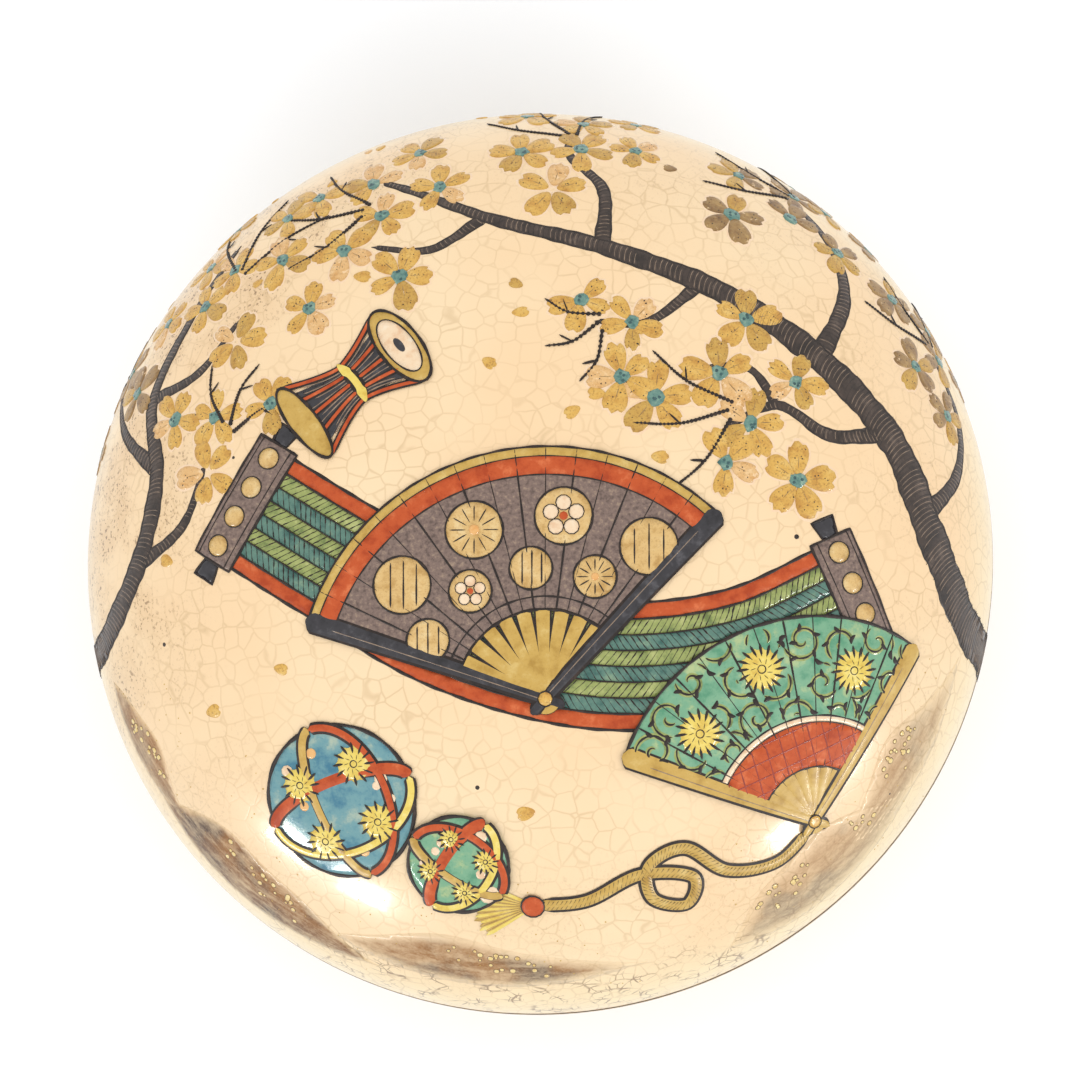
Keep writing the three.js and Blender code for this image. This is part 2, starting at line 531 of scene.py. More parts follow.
def arc(centre, radius, start, end, steps):
    return polar(centre, radius, np.linspace(start, end, steps)).T


def circle(centre, radius, steps):
    return arc(centre, radius, 0, 360, steps + 1)[:-1]


def sector(centre, inner, outer, start, end, steps=40):
    return np.vstack([arc(centre, outer, start, end, steps), arc(centre, inner, end, start, steps)])


def turned(points, angle, place):
    cos, sin = math.cos(math.radians(angle)), math.sin(math.radians(angle))
    return np.asarray(points, float) @ np.array([[cos, sin], [-sin, cos]]) + place


def scaled(outline, scale):
    middle = outline.mean(0)
    return middle + (outline - middle) * scale


def beside(line, offset):
    """The line moved sideways, to its left, by `offset`, which may differ from point to point."""
    ahead = np.gradient(line, axis=0)
    ahead /= np.maximum(np.hypot(ahead[:, 0], ahead[:, 1]), 1e-9)[:, None]
    side = np.column_stack([-ahead[:, 1], ahead[:, 0]])
    return line + side * np.reshape(offset, (-1, 1))


def band(line, low, high):
    """The closed outline of a strip that runs along a line between two sideways offsets."""
    return np.vstack([beside(line, low), beside(line, high)[::-1]])


def inside(points, outline):
    """Whether each point lies inside a closed outline."""
    x, y = np.asarray(points, float).T
    within = np.zeros(len(x), bool)
    for (ax, ay), (bx, by) in zip(outline, np.roll(outline, -1, axis=0)):
        crosses = (ay > y) != (by > y)
        edge = ax + (y - ay) * (bx - ax) / (by - ay if by != ay else 1e-12)
        within ^= crosses & (x < edge)
    return within


def edge_distance(points, outline):
    """The distance of each point to a closed outline."""
    nearest = np.full(len(points), np.inf)
    for start, end in zip(outline, np.roll(outline, -1, axis=0)):
        run = end - start
        share = np.clip((points - start) @ run / max(run @ run, 1e-12), 0, 1)
        gap = points - (start + share[:, None] * run)
        nearest = np.minimum(nearest, np.hypot(gap[:, 0], gap[:, 1]))
    return nearest


def clipped(line, outline, holes=()):
    """The stretches of a line that lie inside an outline and outside the holes."""
    line = spaced(line, 0.2)
    keep = inside(line, outline)
    for hole in holes:
        keep &= ~inside(line, hole)
    runs = [[]]
    for point, kept in zip(line, keep):
        if kept:
            runs[-1].append(point)
        elif runs[-1]:
            runs.append([])
    return [np.array(run) for run in runs if len(run) > 2]


# Painted marks, in millimetres. Their lowest points are sunk in the glaze
FILL_LIFT, FILL_HEIGHT = 0.015, 0.045
LINE_LIFT, LINE_HEIGHT = 0.01, 0.035
DOT_HEIGHT = 0.08
SUNK, LINE_SUNK = -0.06, -0.02
FILL_PITCH, EDGE_PITCH, INK_PITCH = 0.85, 0.55, 0.4
ROW_SHARE = 0.87
INK_WIDTH = 0.34


class Motif:
    """One painted motif: marks in several enamels, gathered into a single mesh that lies on the dome."""

    def __init__(self, name):
        self.name = name
        self.points, self.faces, self.slots, self.enamels, self.washes = [], [], [], [], []
        self.count = 0

    def add(self, flat, lifts, faces, enamel, wash=1.0):
        if enamel not in self.enamels:
            self.enamels.append(enamel)
        self.points.append(on_dome(flat, lifts))
        self.washes.append(np.broadcast_to(wash, len(flat)))
        self.faces.extend([index + self.count for index in face] for face in faces)
        self.slots.extend([self.enamels.index(enamel)] * len(faces))
        self.count += len(flat)

    def fill(
        self, outline, enamel, level=0.0, height=FILL_HEIGHT, edge=0.3, pitch=FILL_PITCH, relief=None,
        strength=1.0, feather=0.0
    ):
        """An area of enamel, a little raised, whose edge rounds down into the glaze.

        A wash has a strength below its edge and thins out over the width `feather`.
        """
        ring = spaced(outline, EDGE_PITCH, closed=True)
        low, high = ring.min(0), ring.max(0)
        rows = enumerate(np.arange(low[1], high[1], pitch * ROW_SHARE))
        grid = [(x + (row % 2) * pitch / 2, y) for row, y in rows for x in np.arange(low[0], high[0], pitch)]
        grid = np.array(grid).reshape(-1, 2)
        grid = grid[inside(grid, ring)]
        grid = grid[edge_distance(grid, ring) > 0.3 * pitch] if len(grid) else grid
        given = [Vector(p) for p in np.vstack([ring, grid])]
        found, _, faces = delaunay_2d_cdt(given, [], [list(range(len(ring)))], 1, 1e-5)[:3]
        flat = np.array([tuple(p) for p in found]).reshape(-1, 2)
        depth = edge_distance(flat, ring)
        wash = strength * (np.minimum(1, depth / feather) if feather else np.ones(len(flat)))
        lifts = level + FILL_LIFT + height * np.sqrt(np.minimum(1, depth / edge))
        if relief:
            lifts += relief(flat)
        edges = {(a, b) for face in faces for a, b in zip(face, face[1:] + face[:1])}
        walls = [(b, a, a + len(flat), b + len(flat)) for a, b in sorted(edges) if (b, a) not in edges]
        lifts = np.append(lifts, np.full(len(flat), SUNK))
        self.add(np.vstack([flat, flat]), lifts, [*faces, *walls], enamel, np.append(wash, wash))

    def stroke(self, line, width, enamel, level, height=LINE_HEIGHT, closed=False, across=5, taper=1.2):
        """A brush line. Its width is one value or one for each point, and open ends run thin."""
        line = np.asarray(line, float)
        width = np.zeros(len(line)) + width
        if closed:
            line, width = np.vstack([line, line[:1]]), np.append(width, width[0])
        elif taper:
            length = lengths(line)
            to_end = np.minimum(length, length[-1] - length)
            width *= np.sqrt(np.clip(to_end / (taper * width.max() + 1e-9), 0.04, 1))
        rows = [beside(line, share * width) for share in np.linspace(-0.5, 0.5, across)]
        if closed:
            for row in rows:
                row[0] = row[-1] = (row[0] + row[-1]) / 2
        lens = 1 - np.linspace(-1, 1, across) ** 2
        lifts = np.repeat(level + LINE_LIFT + height * lens, len(line)).reshape(across, -1)
        lifts[[0, -1]] = level + LINE_SUNK
        count = len(line)
        corners = [row * count + k for row in range(across - 1) for k in range(count - 1)]
        faces = [(k, k + 1, k + 1 + count, k + count) for k in corners]
        self.add(np.vstack(rows), lifts.ravel(), faces, enamel)

    def hair(self, line, width, enamel, level, height=0.03):
        """A very fine brush line."""
        self.stroke(line, width, enamel, level, height, across=3)

    def edged(self, line, width, enamel, level, edge, heights, step=0.03, taper=1.2):
        """A brush line that lies over a line in ink, wider by `edge` and lower by `step`."""
        self.stroke(line, width + edge, INK, level, heights[0], taper=taper)
        self.stroke(line, width, enamel, level + step, heights[1], taper=taper)

    def ink(self, line, width, level, closed=False, enamel=None):
        """A thin drawn line, a little uneven as a brush leaves it."""
        line = spaced(line, INK_PITCH, closed)
        wobble = 1 + 0.22 * np.sin(np.arange(len(line)) * 0.55 + between(0, 6))
        self.stroke(line, width * wobble, enamel or INK, level, closed=closed)

    def outlined(self, outline, enamel, level, width, step, height=FILL_HEIGHT):
        """An area of enamel with a drawn line along its edge, higher by `step`."""
        self.fill(outline, enamel, level, height)
        self.ink(outline, width, level + step, closed=True)

    def touch(self, outline, enamel, level=0.0, height=DOT_HEIGHT):
        """A small domed touch of the brush with a convex outline."""
        sides = len(outline)
        flat = np.vstack([outline, scaled(outline, 0.94), scaled(outline, 0.6), outline.mean(0)])
        lifts = np.repeat(level + height * np.array([0, 0.5, 0.9, 1]), [sides, sides, sides, 1])
        lifts[:sides] = SUNK
        faces = []
        for k in range(sides):
            after = (k + 1) % sides
            for ring in (0, sides):
                faces.append([ring + k, ring + after, ring + sides + after, ring + sides + k])
            faces.append([2 * sides + k, 2 * sides + after, 3 * sides])
        self.add(flat, lifts, faces, enamel)

    def dot(self, place, radius, enamel, level, height=DOT_HEIGHT, sides=8):
        self.touch(circle(place, radius, sides), enamel, level, height)

    def build(self):
        made = mesh_object(self.name, np.vstack(self.points).tolist(), self.faces, self.enamels, self.slots)
        wash = np.concatenate(self.washes)
        if wash.min() < 1:
            made.data.attributes.new("wash", "FLOAT", "POINT").data.foreach_set("value", wash)
        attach(made, "lid")


# Enamels, gold and ink
chance = random.Random(41)
between = chance.uniform
GOLD_SPECK = seen(140, 92, 42)


def enamel(
    name, dark, middle, light, size, roughness=0.34, worn=0, specks=0, coat=0.25, gloss=0.3, grain=0.25
):
    """Fired enamel in three tones that run into each other.

    `worn` is the share where the glaze shows through, and `specks` how strong the brown grains in a gold are.
    """
    shader = Shader(name, seen(*dark), roughness, coat, gloss)
    broad = shader.noise(size, detail=4, rough=0.62, offset=(17, 3, 8))
    shader.lay(seen(*middle), shader.ramp(broad, 0.30, 0.52))
    shader.lay(seen(*light), shader.ramp(broad, 0.52, 0.72))
    fine = shader.noise(0.28, detail=2)
    shader.lay(seen(*dark), shader.ramp(fine, 0.56, 0.78, 0.0, 0.45))
    if specks:
        grains = shader.noise(0.24, detail=3, rough=0.7, offset=(8, 8, 30))
        shader.lay(GOLD_SPECK, shader.ramp(grains, 0.52, 0.64, 0.0, specks))
    if worn:
        rubbed = shader.noise(0.8, detail=5, rough=0.7, offset=(4, 40, 2))
        shader.lay(CREAM, shader.ramp(rubbed, 0.74 - worn, 0.78 - worn), 0.75)
    return shader.done(fine, grain, 0.00006)


# Each enamel: its three tones, the size of its patches and its roughness; a gold's wear and specks come next
INK = enamel("ink", (26, 19, 16), (42, 31, 26), (66, 50, 40), 0.9, 0.6, coat=0.05)
BARK = enamel("bark", (42, 33, 27), (68, 55, 47), (96, 81, 71), 2.2, grain=0.6)
BARK_LINE = enamel("bark_line", (38, 31, 27), (54, 45, 40), (74, 62, 55), 1.0, 0.5, coat=0.1)
BARK_LIGHT = enamel("bark_light", (118, 99, 84), (150, 128, 108), (176, 150, 124), 1.0, coat=0.1)
GOLD = enamel("gold", (204, 150, 66), (226, 178, 86), (236, 196, 112), 1.5, 0.42, 0.05, 0.5)
DEEP_GOLD = enamel("deep_gold", (190, 142, 62), (208, 164, 78), (222, 184, 98), 1.5, 0.42, 0.06, 0.6)
DULL_GOLD = enamel("dull_gold", (132, 100, 62), (166, 132, 82), (194, 158, 98), 1.6, 0.45, 0.12, 0.5)
FADED_GOLD = enamel("faded_gold", (218, 164, 96), (234, 188, 126), (244, 206, 152), 1.0, 0.42, 0.16, 0.3)
PALE_GOLD = enamel("pale_gold", (200, 158, 90), (226, 188, 122), (238, 208, 150), 1.7, 0.36, 0.04, 0.25)
PURPLE = enamel("purple_grey", (98, 80, 72), (132, 110, 100), (164, 140, 120), 0.45, 0.45, grain=0.9)
VERMILION = enamel("vermilion", (178, 72, 38), (202, 92, 50), (226, 122, 76), 1.8, 0.5, coat=0.03, gloss=0.12)
RED_LINE = enamel("red_line", (134, 44, 30), (156, 54, 36), (176, 70, 46), 1.0, 0.32)
GREEN = enamel("green", (80, 148, 114), (124, 176, 140), (184, 200, 142), 2.8, 0.16, coat=0.3, grain=0.12)
GREY_GREEN = enamel("grey_green", (58, 100, 92), (94, 132, 118), (132, 160, 132), 1.6, 0.2)
LEAF_GREEN = enamel("leaf_green", (112, 128, 70), (158, 168, 98), (188, 192, 124), 1.6, 0.2)
BLUE = enamel("blue", (56, 120, 146), (112, 160, 166), (176, 192, 172), 3.0, 0.16, coat=0.3, grain=0.12)
YELLOW = enamel("yellow", (222, 186, 76), (240, 214, 104), (248, 230, 148), 1.4, 0.24)
ORANGE = enamel("orange", (228, 160, 84), (240, 186, 118), (246, 210, 154), 1.4, 0.24)
OCHRE = enamel("ochre", (184, 144, 62), (208, 170, 86), (224, 192, 116), 2.0, 0.42, coat=0.1)
BLACK = enamel("black", (36, 34, 37), (54, 52, 56), (84, 82, 86), 1.6, 0.2)
TEAL = enamel("teal", (70, 112, 108), (108, 146, 134), (152, 180, 158), 0.6, 0.2)
DEEP_TEAL = enamel("deep_teal", (40, 70, 74), (60, 94, 94), (84, 118, 112), 0.5, 0.2)
HALO = enamel("halo", (250, 214, 174), (252, 221, 185), (253, 226, 193), 1.2, 0.26)
GRAIN_GOLD = enamel("grain_gold", (222, 182, 104), (240, 212, 140), (250, 232, 170), 1.2)
MIST_EDGE = enamel("mist_edge", (104, 76, 46), (134, 102, 62), (166, 130, 80), 1.4, worn=0.1, coat=0.1)
MIST = mist_material()
BLUSH = enamel("blush", (236, 196, 156), (248, 220, 184), (252, 232, 202), 1.5, 0.25)


# Boughs and blossoms
RING_PITCH = 0.3
MAIN_BOUGH = [(64, -15), (54, -10), (47, 0), (42, 10), (33, 19), (22, 26), (9, 31), (-4, 35), (-17, 42)]
LEFT_BOUGH = [(-63, -14), (-53, -11), (-45, -3), (-42, 7), (-44, 17), (-40, 27), (-35, 37)]
# Each twig: its places, and its width at the root and at the tip
MAIN_TWIGS = [
    ([(46, 2), (52, 8), (54, 16), (51, 24)], 2.2, 0.5), ([(41, 11), (34, 10), (28, 13), (22, 10)], 2.0, 0.45),
    ([(28, 13), (25, 17), (20, 17)], 1.1, 0.4), ([(33, 19), (37, 28), (36, 37), (30, 46)], 2.4, 0.5),
    ([(20, 27), (14, 22), (8, 22)], 1.4, 0.4), ([(9, 31), (9, 39), (5, 45), (6, 53)], 1.8, 0.45),
    ([(-4, 35), (-10, 31), (-17, 32)], 1.4, 0.4),
]
LEFT_TWIGS = [
    ([(-45, -3), (-38, 1), (-35, 8)], 1.8, 0.45), ([(-42, 8), (-49, 14), (-54, 22)], 2.0, 0.5),
    ([(-44, 17), (-37, 19), (-32, 25)], 1.6, 0.4),
]


def bough(motif, places, start, end, level=0.0):
    """A bough with dark edges and the fine rings that the brush hatches across the bark."""
    line = spaced(smooth(places), RING_PITCH)
    length = lengths(line)
    width = start + (end - start) * (length / length[-1]) ** 0.8
    steps = np.arange(len(line))
    width = width * (1 + 0.06 * np.sin(steps * 0.25) + 0.03 * np.sin(steps * 0.9))
    motif.stroke(line[::2], width[::2], BARK, level, height=0.045, across=9, taper=0.5)
    for side in (-0.48, 0.48):
        motif.ink(beside(line, side * width)[2:-3], 0.3, level, enamel=BARK_LINE)
    for k in range(3, len(line) - 3):
        ahead = line[k + 1] - line[k - 1]
        ahead /= np.hypot(*ahead)
        side = np.array([-ahead[1], ahead[0]])
        low, high = chance.choice(((-1.04, 1.04), (-1.04, 1.04), (-1.04, 0.5), (-0.5, 1.04)))
        dark = k % 2
        if not dark:
            low, high = max(low, -0.8), min(high, 0.8)
            if chance.random() < 0.2:
                continue
        share = np.linspace(low, high, 6)
        lean = (0.1 * share ** 2 + 0.08 * share) * width[k]
        ring = line[k] + share[:, None] * width[k] / 2 * side - lean[:, None] * ahead
        thickness = between(0.14, 0.24 if dark else 0.22)
        motif.hair(ring, thickness, BARK_LINE if dark else BARK_LIGHT, level + 0.035, 0.025)


def paint_boughs():
    for name, main, width, twigs in (
        ("main_bough", MAIN_BOUGH, 6.2, MAIN_TWIGS), ("left_bough", LEFT_BOUGH, 4.2, LEFT_TWIGS)
    ):
        motif = Motif(name)
        for twig_shape in twigs:
            bough(motif, *twig_shape)
        bough(motif, main, width, 0.6, level=0.03)
        motif.build()


PETAL_STEPS = 20
HALO_SCALE = 1.2
BLOSSOM_PITCH = 4.4
GOLDEN_ANGLE = 137.5
BEAD_PITCH = 0.62
# Each cluster: name, middle, number of blossoms, golds, and the direction that its buds and twigs take
CLUSTERS = [
    ("right", (24, 12), 7, "front", 175), ("rim", (51, 25), 7, "rim", 110),
    ("high", (33, 43), 8, "rim", 130), ("top", (5, 48), 7, "front", 100),
    ("middle", (10, 22), 3, "front", 190), ("left", (-17, 37), 7, "front", 160),
    ("left_tip", (-34, 31), 9, "front", 60), ("left_low", (-33, 11), 4, "front", 50),
    ("left_rim", (-53, 23), 5, "rim", 120),
]


def petal_outline(length, angle, place):
    """A petal with a nicked tip, narrow where it joins the flower."""
    turn = np.linspace(0, 2 * math.pi, PETAL_STEPS, endpoint=False)
    along = 0.57 + 0.45 * np.cos(turn)
    across = 0.42 * np.sin(turn) * (0.45 + 0.55 * along) * between(0.8, 1.05)
    for nick in chance.choice(((0,), (1, -1), (1,), (-1, 2))):
        along[nick] -= between(0.07, 0.13)
    return turned(np.column_stack([along, across]) * length, angle, place)


def uneven_spot(place, radius, sides=10):
    """A small round spot with a wavering edge."""
    reach = [radius * between(0.74, 1.16) for _ in range(sides)]
    return polar(place, np.array(reach), np.arange(sides) * 360 / sides).T


def blossom(motif, place, size, golds, level):
    """Five petals, each on a pale halo, round an uneven blue-green middle."""
    start = between(0, 72)
    for k in range(5):
        if chance.random() < 0.05:
            continue
        angle = start + 72 * k + between(-7, 7)
        length = size * between(0.88, 1.08)
        outline = petal_outline(length, angle, place)
        motif.touch(scaled(outline, HALO_SCALE), HALO, 0.0, 0.015)
        motif.touch(outline, chance.choice(golds), level + between(0, 0.01), 0.02)
        for _ in range(5):
            out, across = length * between(0.4, 0.85), length * 0.2 * between(-1, 1)
            speck = polar(polar(place, out, angle), across, angle + 90)
            motif.dot(speck, between(0.05, 0.11), BARK_LINE, level + 0.02, 0.012, 5)
        vein = spaced(ray(place, length * 0.3, length * 0.62, angle), 0.4)
        motif.hair(vein, 0.18, DULL_GOLD, level + 0.02, 0.012)
    if chance.random() < 0.85:
        motif.touch(uneven_spot(place, size * 0.24), TEAL, level + 0.02, 0.045)
        for _ in range(3):
            fleck = polar(place, size * between(0.04, 0.15), between(0, 360))
            motif.touch(uneven_spot(fleck, size * 0.055, 6), DEEP_TEAL, level + 0.055, 0.015)


def twig(motif, line, level):
    """A thin twig drawn as a row of beads that touch."""
    line = spaced(line, BEAD_PITCH)
    motif.ink(line, 0.24, level)
    for k, place in enumerate(line[:-1]):
        motif.dot(place, 0.26 - 0.12 * k / len(line), INK, level + 0.01, 0.04, 7)


def paint_blossoms():
    golds = {"front": (GOLD,) * 5 + (DEEP_GOLD, FADED_GOLD), "rim": (DULL_GOLD, DULL_GOLD, DEEP_GOLD)}
    for name, middle, count, tone, lead in CLUSTERS:
        motif = Motif("blossoms_" + name)
        spread = BLOSSOM_PITCH * math.sqrt(count)
        start = between(0, 360)
        for k in range(count):
            place = polar(middle, BLOSSOM_PITCH * math.sqrt(k + 0.15), start + GOLDEN_ANGLE * k)
            place += [between(-0.7, 0.7), between(-0.7, 0.7)]
            blossom(motif, place, between(3.5, 4.3), golds[tone], level=0.07 + 0.022 * (k % 3))
        for _ in range(count // 2):
            angle = lead + between(-70, 70)
            bud = polar(middle, spread + between(1.5, 3.5), angle)
            motif.touch(petal_outline(between(1.6, 2.4), angle, bud), chance.choice(golds[tone]), 0.04)
        for turn in (-42, 0, 42):
            angle = lead + turn
            root, tip = ray(middle, 1.5, spread, angle, 12)
            bend = polar((root + tip) / 2, 0.8, angle + 90)
            twig(motif, smooth([root, bend, tip], 6), 0.1)
            motif.ink([bend, polar(bend, 1.6, angle - 38)], 0.26, 0.1)
        motif.build()


# Scroll
SCROLL_LINE = spaced(smooth([(-30, 3), (-19, -4), (-6, -11.5), (9, -15.5), (24, -14), (37, -8)]), 0.4)
# Half the width of the scroll, and of the plait between its borders
SCROLL_HALF, SCROLL_FIELD = 6.8, 5.05
PLAIT_ROWS, PLAIT_PITCH = 6, 2


def paint_scroll():
    """A handscroll, open across the lid, with red borders and rows of hatched plait."""
    motif = Motif("scroll")
    line = SCROLL_LINE
    for side in (-1, 1):
        motif.fill(band(line, side * SCROLL_FIELD, side * SCROLL_HALF), VERMILION)
        motif.ink(beside(line, side * SCROLL_HALF), INK_WIDTH, 0.04)
    depth = 2 * SCROLL_FIELD / PLAIT_ROWS
    shares = np.linspace(0, 1, 4)
    for row in range(PLAIT_ROWS):
        low = row * depth - SCROLL_FIELD
        motif.fill(band(line, low, low + depth), LEAF_GREEN if row % 2 else GREY_GREEN, height=0.06, edge=0.2)
        slant = 3 if row % 2 else -3
        sides = [beside(line, low + 0.08 + share * (depth - 0.16)) for share in shares]
        for k in range(6, len(line) - 6, PLAIT_PITCH):
            leaning = np.array([side[k + round(slant * share)] for side, share in zip(sides, shares)])
            motif.hair(leaning, between(0.18, 0.3), INK, 0.05)
    for row in range(PLAIT_ROWS + 1):
        motif.ink(beside(line, row * depth - SCROLL_FIELD), 0.26 if row in (0, PLAIT_ROWS) else 0.16, 0.06)
    rolled_end(motif, line[0], heading(line[0] - line[3]))
    rolled_end(motif, line[-1], heading(line[-1] - line[-4]))
    motif.build()


def rolled_end(motif, place, angle):
    """The rolled part of the scroll, seen from above, with a black knob at each end of its rod."""
    reach, half, knob_length = 2.5, SCROLL_HALF + 0.5, 2.2

    def put(*points):
        return turned(points, angle, place)

    for side in (-1, 1):
        near, far = side * half, side * (half + knob_length)
        motif.outlined(put((-0.9, near), (0.9, near), (1.35, far), (-1.35, far)), BLACK, 0.03, 0.26, 0.03)
    roll = put((-reach, -half), (reach, -half), (reach, half), (-reach, half))
    motif.fill(roll, PURPLE, 0.1, height=0.16, edge=1.8)
    for share in (-0.7, 0.78):
        motif.ink(put((share * reach, -half), (share * reach, half)), 0.18, 0.2)
    for k in range(4):
        spot = put((0.05 * reach, ((k + 0.5) / 2 - 1) * half))[0]
        motif.outlined(circle(spot, 1.2, 18), PALE_GOLD, 0.27, 0.16, 0.02, height=0.03)
    motif.ink(roll, INK_WIDTH, 0.12, closed=True)


# Folding fans
LEAF_LIFT, FOLD_DEPTH = 0.05, 0.05


class Fan(Motif):
    """A folding fan: its pivot, its two end directions, its leaf's radii and how many pleats it has."""

    def __init__(self, name, pivot, opening, radii, pleats, level):
        super().__init__(name)
        self.pivot, self.opening, self.pleats, self.level = pivot, opening, pleats, level
        self.inner, self.outer = radii
        self.leaf = self.ring(self.inner, self.outer)
        self.top = level + FILL_HEIGHT + LEAF_LIFT

    def angle(self, share):
        start, end = self.opening
        return start + (end - start) * share

    def ring(self, low, high):
        return sector(self.pivot, low, high, *self.opening)

    def spoke(self, angle, low, high):
        return spaced(ray(self.pivot, low, high, angle), 0.4)

    def folds(self, flat):
        """The leaf's zigzag relief."""
        start, end = self.opening
        angle = np.degrees(np.arctan2(flat[:, 1] - self.pivot[1], flat[:, 0] - self.pivot[0]))
        phase = (angle - start) / (end - start) * self.pleats
        return FOLD_DEPTH * (np.abs(phase % 2 - 1) - 1)

    def body(self, sticks, enamel):
        """The sticks, each one over the one before, and the pleated leaf."""
        for k in range(sticks):
            line = self.spoke(self.angle((k + 0.5) / sticks), -1.6, self.inner - 0.1)
            width = np.linspace(0.8, 1.5, len(line))
            self.edged(line, width, OCHRE, self.level + 0.012 * k, 0.4, (0.05, 0.06), taper=0)
        self.fill(self.leaf, enamel, self.level + LEAF_LIFT, pitch=0.6, relief=self.folds)

    def trim(self, low, high, enamel):
        self.fill(self.ring(low, high), enamel, self.top + 0.01, height=0.03)

    def hoops(self, radii, width):
        for radius in radii:
            self.ink(arc(self.pivot, radius, *self.opening, 60), width, self.top)

    def finish(self, enamel):
        """The creases, the leaf's two edges, and the guards with their pin."""
        for k in range(1, self.pleats):
            line = self.spoke(self.angle(k / self.pleats), self.inner, self.outer)
            self.ink(line, 0.2 if k % 2 else 0.13, self.top + 0.01)
        self.hoops((self.inner, self.outer), INK_WIDTH)
        for angle in self.opening:
            line = self.spoke(angle, -2.2, self.outer + 0.3)
            width = np.linspace(1.1, 2.1, len(line))
            self.edged(line, width, enamel, self.top + 0.02, 0.5, (0.06, 0.09), taper=0.3)
            self.ink(beside(line, 0.12 * width)[6:-8], 0.16, self.top + 0.11, enamel=BARK_LIGHT)
        self.dot(self.pivot, 0.8, GOLD, self.top + 0.14)
        self.ink(circle(self.pivot, 0.8, 12), 0.18, self.top + 0.16, closed=True)
        self.build()


def roundel(motif, place, radius, level, leaf, kind):
    """A pale gold roundel, cut off where it meets the leaf's edge."""
    whole = circle(place, radius, 30)
    on_leaf = inside(whole, leaf)
    kept = whole[on_leaf]
    if not on_leaf.all():
        first = next(k for k in range(len(whole)) if on_leaf[k] and not on_leaf[k - 1])
        kept = np.roll(whole, -first, axis=0)[:len(kept)]
    motif.outlined(kept, PALE_GOLD, level, 0.24, 0.03, height=0.04)
    over = level + 0.05

    def upright(share, reach):
        return place + np.array([(share * radius, -reach), (share * radius, reach)])

    if len(kept) < len(whole):
        for share in (-0.5, 0.0, 0.5):
            for run in clipped(upright(share, radius), place + (kept - place) * 0.84):
                motif.ink(run, 0.2, over)
    elif kind == "petals":
        for k in range(12):
            motif.ink(ray(place, radius * 0.3, radius * 0.84, 30 * k), 0.16, over)
        motif.dot(place, radius * 0.2, ORANGE, over)
    elif kind == "bars":
        for share in (-0.4, 0.05, 0.5):
            motif.ink(upright(share, radius * math.sqrt(1 - share ** 2) * 0.84), 0.22, over)
    else:
        for k in range(5):
            petal = circle(polar(place, radius * 0.46, 90 + 72 * k), radius * 0.27, 10)
            motif.touch(petal, BLUSH, over)
            motif.ink(petal, 0.13, level + 0.07, closed=True)
        motif.dot(place, radius * 0.16, VERMILION, level + 0.08)


def paint_purple_fan():
    """A fan with a red edge and two rows of roundels."""
    fan = Fan("purple_fan", pivot=(3, -19), opening=(47, 161), radii=(9.5, 27), pleats=16, level=0.2)
    red, gold = fan.outer - 3.0, fan.outer - 1.0
    fan.body(9, PURPLE)
    fan.trim(red, gold, VERMILION)
    fan.trim(gold, fan.outer, OCHRE)
    fan.hoops((red, gold, fan.inner + 1.4), 0.22)
    kinds = ("bars", "plum", "petals")
    for row, (radius, size, shift) in enumerate(((19.6, 3.1, 0.3), (14.0, 2.3, 0.72))):
        for k in range(4):
            place = polar(fan.pivot, radius, fan.angle((k + shift) / 4))
            roundel(fan, place, size, fan.top + 0.01, fan.leaf, kinds[(k + 2 * row) % 3])
    fan.finish(BLACK)


def tendrils(motif, outline, level, holes, pitch=4.6):
    """Running tendrils with small leaves over yellowish patches, as fills a brocade ground."""
    low, high = outline.min(0), outline.max(0)
    turns = np.linspace(0, 1.4, 36)
    for row, y in enumerate(np.arange(low[1], high[1] + pitch, pitch * 0.86)):
        for column, x in enumerate(np.arange(low[0] + (row % 2) * pitch / 2, high[0] + pitch, pitch)):
            way = 1 if (row + column) % 2 else -1
            middle = (x + between(-0.4, 0.4), y + between(-0.4, 0.4))
            angle = 360 * turns * way + between(0, 360)
            spiral = polar(middle, 0.3 + 1.35 * turns, angle).T
            for run in clipped(spiral, outline, holes):
                motif.stroke(run, 0.62, LEAF_GREEN, level, height=0.02)
                motif.ink(run, 0.27, level + 0.02)
            for k in (8, 15, 21, 26, 31, 35):
                lean = angle[k] + way * 62
                bend, tip = polar(spiral[k], 0.55, lean + 24 * way), polar(spiral[k], 1.05, lean)
                leaf = smooth([spiral[k], bend, tip], 4)
                if inside(leaf, outline).all() and not any(inside(leaf, hole).any() for hole in holes):
                    motif.stroke(leaf, 0.55, INK, level + 0.02, height=0.04, taper=1.0)


def lattice(motif, outline, level, pitch=1.7, tilt=24):
    """Two sets of slanting lines, cut to an outline."""
    middle = outline.mean(0)
    reach = np.hypot(*(outline - middle).T).max()
    for angle in (tilt, tilt + 84):
        for offset in np.arange(-reach, reach, pitch):
            for run in clipped(turned([(-reach, offset), (reach, offset)], angle, middle), outline):
                motif.ink(run, 0.2, level, enamel=RED_LINE)


def paint_green_fan():
    """A fan with flower heads among tendrils, over a red lattice."""
    fan = Fan("green_fan", pivot=(33, -33), opening=(60, 160), radii=(6.5, 23), pleats=12, level=0.3)
    over = fan.top + 0.01
    red, pale = fan.inner + 5, fan.inner + 5.7
    fan.body(7, GREEN)
    fan.trim(fan.inner, red, VERMILION)
    lattice(fan, fan.ring(fan.inner, red), over + 0.03)
    fan.trim(red, pale, BLUSH)
    fan.hoops((red, pale), 0.24)
    flowers = []
    for angle, radius in ((78, 17.5), (112, 18.5), (143, 17)):
        place = polar(fan.pivot, radius, angle)
        flowers.append(circle(place, 2.9, 20))
        chrysanthemum(fan, place, 2.2, over)
    tendrils(fan, fan.ring(pale + 0.2, fan.outer - 0.5), over, flowers)
    fan.finish(OCHRE)


